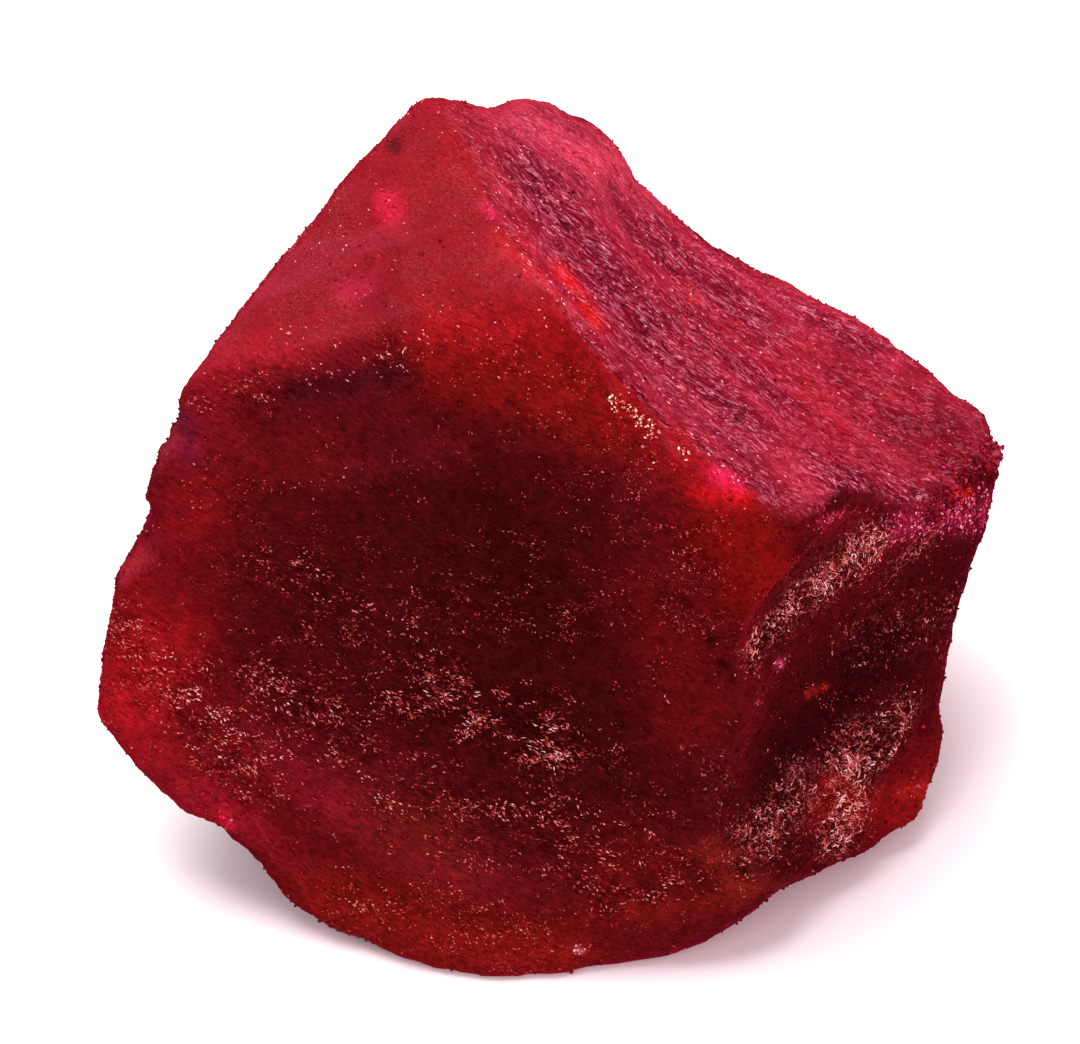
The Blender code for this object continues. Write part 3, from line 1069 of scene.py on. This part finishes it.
    def body_colour(self, solid: Thing) -> Numbers:
        """The stone's red at each point, with painted glow, a lighter top and painted shade in hollows.

        Args:
            solid: the CAD node.

        Returns:
            A linear colour for each point.
        """
        # Painted glow: the thinner the stone that light passes through, the brighter its painted red.
        glow = self.soften(self.clearness(solid)[:, None], self.glow_passes)[:, 0]
        colour = between(THROUGH_GLOW_REDS, THROUGH_GLOW_STOPS, glow)

        # The upward faces are painted a lighter crimson, as painted light from above. Low overhangs glow a
        # little, and most at the thin front foot.
        raised, height = self.broad[:, 2], self.points[:, 2]
        hung = ramp(-raised, 0.3, 0.7) * ramp(-height, -5.0, -2.0)
        foot = self.distance_to(*FRONT_FOOT) / FOOT_REACH
        colour = over(colour, "#8A1828", 0.85 * ramp(raised, 0.45, 0.85))
        colour = over(colour, "#6A0C24", 0.5 * hung)
        colour = over(colour, "#8C1850", 0.7 * hung * np.exp(-foot * foot))

        for patch in PATCHES:
            ragged = Lumps(max(patch.radius, 0.5), 2, PATCH_SEED).at(self.points) * self.patch_ragged
            away = self.distance_to(patch.start, patch.end) / patch.radius + ragged
            colour = over(colour, patch.colour, patch.cover * np.exp(-np.clip(away, 0.0, None) ** 2))

        # Soft swirls of rose and deep red: drawn out along the slope's fibres, and across the brow.
        slope, brow = self.shares[Face.SLOPE], self.brow
        streaked = SLOPE_SWIRLS.at(self.flow)
        along = unit(self.brow_along)
        drawn = self.points - along * (self.points @ along)[:, None] * (1.0 - 1.0 / self.brow_stretch)
        swirled = BROW_SWIRLS.at(drawn)
        colour = over(colour, "#B03040", 0.35 * slope * ramp(streaked, 0.1, 0.8))
        colour = over(colour, "#520A16", 0.6 * slope * ramp(-streaked, 0.1, 0.8))
        colour = over(colour, "#A43048", 0.2 * brow * ramp(swirled, 0.0, 0.7))
        colour = over(colour, "#900E14", 0.4 * brow * ramp(-swirled, 0.0, 0.7))
        # The hollows between fresh grains are painted deep and dark, as painted shade.
        return over(colour, "#1C0304", 0.4 * np.minimum(self.crowd(FLECK_BANDS + WORM_BANDS), 0.6))

    def strew(self, random: Dice, count: int, crowding: Numbers) -> tuple[Numbers, Numbers, Numbers]:
        """Picks places on the skin, clear of the floor.

        Args:
            random: the seeded generator.
            count: how many places.
            crowding: how thickly they lie at each point.

        Returns:
            The places in mm, the skin's direction at each, and the number of the skin's point beside each.
        """
        corners = self.points[self.triangles]
        area = np.linalg.norm(np.cross(corners[:, 1] - corners[:, 0], corners[:, 2] - corners[:, 0]), axis=1)
        weight = area * (crowding * (self.points[:, 2] > self.bare_foot))[self.triangles].mean(axis=1)
        picked = random.choice(len(weight), count, p=weight / weight.sum())
        shares = random.dirichlet((1.0, 1.0, 1.0), count)
        places = np.einsum("ij,ijk->ik", shares, corners[picked])
        facing = unit(self.normals[self.triangles[picked]].mean(axis=1))
        return places, facing, self.triangles[picked, 0]

    def seen_place(self, pixel: Pixel) -> Numbers:
        """The place on the skin that shows at a pixel of the view.

        Args:
            pixel: across and down from the frame's top left corner.

        Returns:
            The place in mm.
        """
        start, direction = self.view.ray(pixel)
        hit = self.search.ray_cast(start, direction)[0]
        if hit is None:
            hit = self.search.find_nearest(start + direction * self.view.distance)[0]
        return np.array(hit)

    def distance_to(self, start: Pixel, end: Pixel) -> Numbers:
        """How far each point is from the straight stretch between two places of the view.

        Args:
            start: the pixel where the stretch starts.
            end: the pixel where it ends.

        Returns:
            Distances in mm.
        """
        first = self.seen_place(start)
        line = self.seen_place(end) - first
        share = np.clip((self.points - first) @ line / max(float(line @ line), 1e-6), 0.0, 1.0)
        return np.linalg.norm(self.points - (first + share[:, None] * line), axis=1)


# ---- Crystal grains ----


@dataclass(frozen=True, kw_only=True)
class EdgeKind:
    """One kind of fresh grain edge: thin raised lines that curl over the break and catch light. The edges
    lie in rows, side by side. Turns are in radians, and curl in radians for each mm."""

    name: str
    rows: int
    row: int
    gap: float
    length: Span
    width: float
    scatter: float
    everywhere: float
    patchiness: float
    bands: tuple[Band, ...]
    colours: tuple[str, ...]
    steps: int = 2
    curl: float = 4.0
    along: Triple = FRONT_GRAIN
    row_turn: float = 0.3
    shy: float = 0.95
    blush: float = 0.5
    finish: CrystalGrain = GLASSY_GRAIN


FRONT_EDGES = EdgeKind(
    name="front_glints",
    rows=2800,
    row=5,
    gap=0.14,
    length=(0.09, 0.30),
    width=0.082,
    scatter=0.3,
    everywhere=0.035,
    patchiness=0.85,
    bands=FLECK_BANDS,
    colours=("#480E10", "#601618", "#8E2626", "#CC504C", "#FFB4AC", "#FFFFFF"),
)

SLOPE_EDGES = EdgeKind(
    name="slope_glints",
    rows=1150,
    row=1,
    gap=0.1,
    length=(0.08, 0.30),
    width=0.09,
    curl=1.5,
    along=(0.66, -0.36, -0.48),
    scatter=0.25,
    row_turn=0.0,
    everywhere=0.02,
    patchiness=0.5,
    bands=(
        Band((520, 170), (700, 420), 3.0, 0.5),
        Band((660, 240), (920, 440), 3.5, 0.25),
        Band((500, 232), (560, 300), 0.4, 1.2),
        Band((660, 430), (800, 490), 0.9, 0.5),
        Band((360, 200), (300, 320), 4.0, 0.14),
        Band((300, 225), (400, 230), 0.9, 0.45),
        Band((335, 235), (380, 270), 0.8, 0.5),
        Band((248, 296), (290, 345), 0.9, 0.7),
        Band((300, 378), (425, 335), 0.9, 0.8),
        Band((490, 200), (530, 250), 0.8, 0.5),
        Band((522, 270), (556, 330), 0.7, 0.6),
        Band((450, 310), (530, 370), 1.3, 0.5),
    ),
    colours=("#B03048", "#C85060", "#E47C88", "#F4B0B4", "#FFD8D8", "#FFFFFF"),
    shy=0.0,
    blush=0.0,
)

RED_EDGES = EdgeKind(
    name="red_glints",
    rows=2000,
    row=3,
    gap=0.16,
    length=(0.08, 0.26),
    width=0.085,
    scatter=0.5,
    everywhere=0.05,
    patchiness=0.6,
    bands=(
        Band((120, 640), (200, 760), 1.8, 0.8),
        Band((340, 900), (560, 945), 1.5, 0.7),
        Band((600, 910), (740, 870), 1.2, 0.8),
        Band((400, 800), (470, 860), 1.5, 0.5),
        Band((640, 480), (700, 640), 1.6, 0.4),
        Band((720, 520), (780, 590), 1.2, 0.4),
        Band((430, 310), (560, 380), 1.6, 0.5),
        Band((220, 480), (300, 600), 2.0, 0.3),
        Band((650, 780), (700, 860), 1.6, 0.4),
    ),
    colours=("#5A1012", "#7C1A18", "#A02A24", "#C84038", "#E88070", "#FFB8A8"),
    shy=0.6,
)

LEDGE_EDGES = EdgeKind(
    name="ledge_glints",
    rows=2400,
    row=2,
    gap=0.2,
    steps=4,
    length=(0.12, 0.60),
    width=0.08,
    curl=7.0,
    along=(0.39, 0.13, -0.91),
    scatter=0.6,
    row_turn=0.6,
    everywhere=0.004,
    patchiness=0.7,
    bands=WORM_BANDS,
    colours=("#480C10", "#601418", "#8C2828", "#CC605C", "#FFC8C0", "#FFFFFF"),
)


@dataclass(frozen=True)
class GrainKind:
    """One kind of grain: how many there are, their size, their colours, and where they grow. Lift is how
    far a grain's middle stands off the skin, as a share of its height, and likeness is how many of the
    grains take the skin's own red."""

    name: str
    count: int
    length: Span
    slimness: float
    colours: tuple[str, ...]
    everywhere: float
    bands: tuple[Band, ...]
    lift: float
    likeness: float
    finish: CrystalGrain


RIDGE_GRAINS = GrainKind(
    name="ridge_grains",
    count=110,
    length=(0.06, 0.28),
    slimness=0.6,
    colours=("#B43C38", "#D86C60", "#ECB498", "#FCE0C8"),
    everywhere=0.0,
    bands=(
        Band((500, 232), (560, 300), 0.3, 0.15),
        Band((613, 398), (652, 433), 0.24, 2.0),
        Band((660, 438), (690, 455), 0.2, 0.4),
        Band((728, 490), (734, 488), 0.15, 0.5),
    ),
    lift=0.4,
    likeness=0.0,
    finish=GLASSY_GRAIN,
)

EDGE_CRUST = GrainKind(
    name="edge_crust",
    count=420,
    length=(0.14, 0.46),
    slimness=0.55,
    colours=("#5A0E1C", "#7A1428", "#A02048", "#B83060"),
    everywhere=0.0,
    bands=(Band((995, 450), (985, 548), 0.5, 2.0), Band((940, 455), (975, 480), 0.6, 0.3)),
    lift=1.3,
    likeness=0.6,
    finish=DULL_GRAIN,
)

FINE_CRUST = GrainKind(
    name="fine_crust",
    count=8500,
    length=(0.08, 0.28),
    slimness=0.8,
    colours=("#3A0A10", "#5A0E18", "#7A1020", "#A81C34"),
    everywhere=1.0,
    bands=(
        Band((985, 475), (983, 540), 0.8, 7.0),
        Band((178, 410), (160, 470), 0.6, 4.0),
        Band((112, 590), (100, 690), 0.8, 2.0),
        Band((350, 150), (250, 290), 0.8, 1.5),
    ),
    lift=0.4,
    likeness=0.97,
    finish=DULL_GRAIN,
)

# How many of these there are, their colours and their places come from the patches.
SPOT_GRAINS = GrainKind(
    name="spot_grains",
    count=0,
    length=(0.10, 0.30),
    slimness=0.55,
    colours=(),
    everywhere=0.0,
    bands=(),
    lift=0.3,
    likeness=0.0,
    finish=DULL_GRAIN,
)


@dataclass
class Growth:
    """What grows on the skin as one mesh: its kind, the skin under it and the seed of its random draws."""

    kind: EdgeKind | GrainKind
    skin: Skin
    seed: int
    piece: Thing = field(init=False)

    def dress(self, points: Numbers, triangles: Numbers, colours: Numbers) -> None:
        """Makes the mesh's piece, with its finish and its colours.

        Args:
            points: the mesh's points in mm.
            triangles: three point numbers in each row.
            colours: the linear colour of each point.
        """
        self.piece = mesh_object(self.kind.name, points, triangles)
        self.piece.data.materials.append(self.kind.finish.build())
        paint(self.piece, "grain_colour", np.clip(colours, 0.0, 1.0))


@dataclass
class Edges(Growth):
    """All the edges of one kind, in one mesh of small three-sided ridges."""

    # How much the edges of a row differ: turns in radians, places in mm, and order in gaps.
    own_turn: float = 0.3
    own_place: float = 0.1
    own_order: float = 0.6
    # A ridge's section: how deep its foot is sunk and how high its crest stands, in half widths.
    sunk: float = 0.3
    tall: float = 1.1

    def build(self) -> None:
        """Draws the edges over the skin, raises them and paints them."""
        random, kind = np.random.default_rng(self.seed), self.kind
        fresh, crowding = self.freshness()
        seeds, facing, beside = self.skin.strew(random, kind.rows, crowding)
        fresh = np.repeat(fresh[beside], kind.row)
        places, headings = self.curl(random, seeds, facing, fresh)
        colours = self.flashes(random, np.repeat(beside, kind.row), fresh)
        points, triangles = self.raise_ridges(random, places, headings, np.repeat(facing, kind.row, axis=0))
        self.dress(points, triangles, colours)

    def freshness(self) -> tuple[Numbers, Numbers]:
        """Works out where the stone is freshly broken. The upper faces keep fewer edges than the breaks.

        Returns:
            How freshly each point of the skin is broken, and how thickly the edges lie there.
        """
        kind, skin = self.kind, self.skin
        clumps = ramp(Lumps(1.5, 3, self.seed + 7).at(skin.points), -0.15, 0.45)
        # The far side has its own patches of fresh break.
        far = ramp(skin.broad[:, 1], -0.2, 0.4) * ramp(FAR_BREAKS.at(skin.points), 0.0, 0.5)
        fresh = np.minimum(kind.everywhere * 8.0 * far + skin.crowd(kind.bands), 0.8)
        crowding = (kind.everywhere + fresh) * (1.0 - kind.patchiness * (1.0 - clumps))
        upper = np.clip(skin.shares[Face.SLOPE] + skin.brow, 0.0, 1.0)
        return fresh, crowding * (1.0 - kind.shy * upper)

    def curl(self, random: Dice, seeds: Numbers, facing: Numbers, fresh: Numbers) -> tuple[Numbers, Numbers]:
        """Draws each edge's path: rows of edges side by side, each one curling its own way.

        Args:
            random: the seeded generator.
            seeds: the middle of each row.
            facing: the skin's direction at each row.
            fresh: how freshly the skin is broken at each edge.

        Returns:
            The places and the headings along each edge.
        """
        kind, shape = self.kind, (self.kind.rows, self.kind.row)
        count = kind.rows * kind.row
        along = unit(np.array(kind.along) + random.normal(0.0, kind.scatter, (kind.rows, 3)))
        along = unit(along - facing * np.einsum("ij,ij->i", along, facing)[:, None])
        axes = np.repeat(facing, kind.row, axis=0)
        heading = turned(np.repeat(along, kind.row, axis=0), axes, random.normal(0.0, self.own_turn, count))
        rank = np.arange(kind.row) - (kind.row - 1) / 2 + random.normal(0.0, self.own_order, shape)
        row_way = turned(along, facing, random.normal(kind.row_turn, self.own_turn, kind.rows))
        offset = row_way[:, None] * rank[..., None] * kind.gap
        place = (seeds[:, None] + offset).reshape(-1, 3) + random.normal(0.0, self.own_place, (count, 3))
        low, high = kind.length
        pace = (low + (high - low) * random.beta(1.3, 2.0, count)) / kind.steps * (0.5 + 0.8 * fresh)
        bend = random.normal(0.0, kind.curl, count) * pace
        places, headings = [], []
        for _ in range(kind.steps + 1):
            places.append(place)
            headings.append(heading)
            place = place + heading * pace[:, None]
            heading = turned(heading, axes, bend * random.uniform(0.2, 1.8, count))
        return np.stack(places, axis=1), np.stack(headings, axis=1)

    def flashes(self, random: Dice, beside: Numbers, fresh: Numbers) -> Numbers:
        """Paints each edge's highlight: it flashes on its crest and fades to the stone's red at ends and
        flanks.

        Args:
            random: the seeded generator.
            beside: the number of the skin's point beside each edge.
            fresh: how freshly the skin is broken at each edge.

        Returns:
            The linear colour of each of the edges' points.
        """
        kind, count = self.kind, len(beside)
        row_bright = np.repeat(random.uniform(size=kind.rows), kind.row)
        bright = (0.55 * row_bright + 0.45 * random.uniform(size=count)) * (0.8 + 0.35 * fresh)
        pale = between(kind.colours, np.linspace(0.0, 1.0, len(kind.colours)), bright)
        ruby = self.skin.colour[beside] * random.uniform(0.9, 1.9, (count, 1))
        # Where the stone glows red, its edges are redder too.
        pale[:, 1:] *= 1.0 - kind.blush * ramp(ruby[:, :1], 0.1, 0.5)
        flash = np.sin(np.linspace(0.12, 0.88, kind.steps + 1) * math.pi)[:, None] * np.array((0.3, 1.0, 0.3))
        # Green and blue fade sooner than red, so the flash ends in clear red.
        flash = np.stack([flash, flash**1.8, flash**1.8], axis=-1)
        return (ruby[:, None, None] + np.maximum(pale - ruby, 0.0)[:, None, None] * flash).reshape(-1, 3)

    def raise_ridges(
        self, random: Dice, places: Numbers, headings: Numbers, facing: Numbers
    ) -> tuple[Numbers, Numbers]:
        """Raises a ridge along each path, on the skin.

        Args:
            random: the seeded generator.
            places: places along each edge.
            headings: the way each edge runs there.
            facing: the skin's direction at each edge.

        Returns:
            The mesh's points and triangles.
        """
        count, stops = places.shape[:2]
        search = self.skin.search
        snapped = [tuple(search.find_nearest(Vector(place))[0]) for place in places.reshape(-1, 3).tolist()]
        places = np.array(snapped).reshape(count, stops, 3)
        out = facing[:, None]
        across = unit(np.cross(np.broadcast_to(out, headings.shape), headings))
        taper = np.sin(np.linspace(0.18, 0.82, stops) * math.pi)[None, :, None]
        wide = self.kind.width / 2 * taper * random.uniform(0.6, 1.4, (count, 1, 1))
        section = (across - self.sunk * out, out * self.tall, -across - self.sunk * out)
        rings = np.stack([places + spoke * wide for spoke in section], axis=2)
        sides = [(0, 1, 4), (0, 4, 3), (1, 2, 5), (1, 5, 4), (2, 0, 3), (2, 3, 5)]
        pattern = np.array(sides)[None] + 3 * np.arange(stops - 1)[:, None, None]
        last = 3 * (stops - 1)
        caps = np.array([(0, 2, 1), (last, last + 1, last + 2)])
        pattern = np.concatenate([pattern.reshape(-1, 3), caps])
        triangles = pattern[None] + 3 * stops * np.arange(count)[:, None, None]
        return rings.reshape(-1, 3), triangles.reshape(-1, 3)


@dataclass
class Grains(Growth):
    """All the grains of one kind, in one mesh of small eight-sided crystals."""

    # How far a grain tilts from the skin, and how much its width, height and peak vary.
    tilt: float = 0.35
    widths: Span = (0.7, 1.3)
    heights: Span = (0.7, 1.2)
    skews: Span = (-0.3, 0.3)

    def build(self) -> None:
        """Scatters the grains over the skin, and makes and paints them. Few grow on the brow."""
        random = np.random.default_rng(self.seed)
        kind, skin = self.kind, self.skin
        crowding = kind.everywhere * (1.0 - 0.8 * skin.brow) + skin.crowd(kind.bands)
        places, facing, beside = skin.strew(random, kind.count, crowding)
        palette = np.array([linear(colour) for colour in kind.colours])
        own = palette[random.integers(0, len(palette), kind.count)]
        like = random.uniform(size=(kind.count, 1)) < kind.likeness
        colours = np.where(like, skin.colour[beside] * random.uniform(0.85, 1.5, (kind.count, 1)), own)
        self.grow(random, places, facing, colours)

    def grow(self, random: Dice, places: Numbers, facing: Numbers, colours: Numbers) -> None:
        """Makes the grains, each lying its own way and tilted a little out of the skin.

        Args:
            random: the seeded generator.
            places: the grains' places.
            facing: the skin's direction at each.
            colours: each grain's linear colour.
        """
        count = len(places)
        up = unit(facing + random.normal(0.0, self.tilt, (count, 3)))
        across = unit(np.cross(up, random.normal(0.0, 1.0, (count, 3))))
        along = np.cross(across, up)
        low, high = self.kind.length
        long = (low + (high - low) * random.beta(1.2, 2.6, count))[:, None] / 2
        wide = long * self.kind.slimness * random.uniform(*self.widths, (count, 1))
        tall = wide * random.uniform(*self.heights, (count, 1))
        middle = places + facing * (self.kind.lift * tall)
        skew = random.uniform(*self.skews, (count, 1))
        peak = up * tall + along * long * skew
        tips = (along * long, -along * long, across * wide, -across * wide, peak, -up * tall)
        points = np.stack([middle + tip for tip in tips], axis=1)
        sides = [(0, 2, 4), (2, 1, 4), (1, 3, 4), (3, 0, 4), (2, 0, 5), (1, 2, 5), (3, 1, 5), (0, 3, 5)]
        triangles = np.array(sides)[None] + len(tips) * np.arange(count)[:, None, None]
        self.dress(points.reshape(-1, 3), triangles.reshape(-1, 3), np.repeat(colours, len(tips), axis=0))


@dataclass
class SpotGrains(Grains):
    """The grains that are strewn on the coloured spots, a few of them nearly white."""

    palest: str = "#FFD8D8"

    def build(self) -> None:
        """Strews each spot with grains of its own colour and makes them."""
        random = np.random.default_rng(self.seed)
        palest = np.array(linear(self.palest))
        found = []
        for patch in PATCHES:
            if patch.grains:
                band = Band(patch.start, patch.end, patch.radius * 0.9, 1.0)
                places, facing, _ = self.skin.strew(random, patch.grains, self.skin.crowd((band,)))
                tint = np.array(linear(patch.colour)) * random.uniform(0.6, 1.5, (patch.grains, 1))
                pale = random.uniform(size=(patch.grains, 1)) ** 14.0
                found.append((places, facing, tint + (palest - tint) * pale))
        self.grow(random, *(np.concatenate(part) for part in zip(*found)))


# ---- The whole stone ----


def main() -> None:
    """Builds the stone, its grains and the studio, in order."""
    logging.basicConfig(level=logging.INFO, format="%(name)s: %(message)s")
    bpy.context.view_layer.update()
    bpy.context.scene.view_settings.view_transform = "Standard"

    view = ViewFrame()
    view.add_camera()
    studio = Studio()
    studio.add_floor()
    studio.add_lights(Vector(view.target))

    skin = Skin(view)
    skin.build(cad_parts[NODE])
    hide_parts(NODE)
    pieces = [skin.piece]
    growths = (
        Edges(FRONT_EDGES, skin, 40),
        Edges(LEDGE_EDGES, skin, 41),
        Edges(SLOPE_EDGES, skin, 45),
        Edges(RED_EDGES, skin, 47),
        Grains(RIDGE_GRAINS, skin, 42),
        Grains(FINE_CRUST, skin, 43),
        Grains(EDGE_CRUST, skin, 46),
        SpotGrains(SPOT_GRAINS, skin, 44),
    )
    for growth in growths:
        growth.build()
        pieces.append(growth.piece)
    for piece in pieces:
        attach(piece, BODY)
        log.info("%s: %d triangles", piece.name, len(piece.data.polygons))


if __name__ == "__main__":
    main()
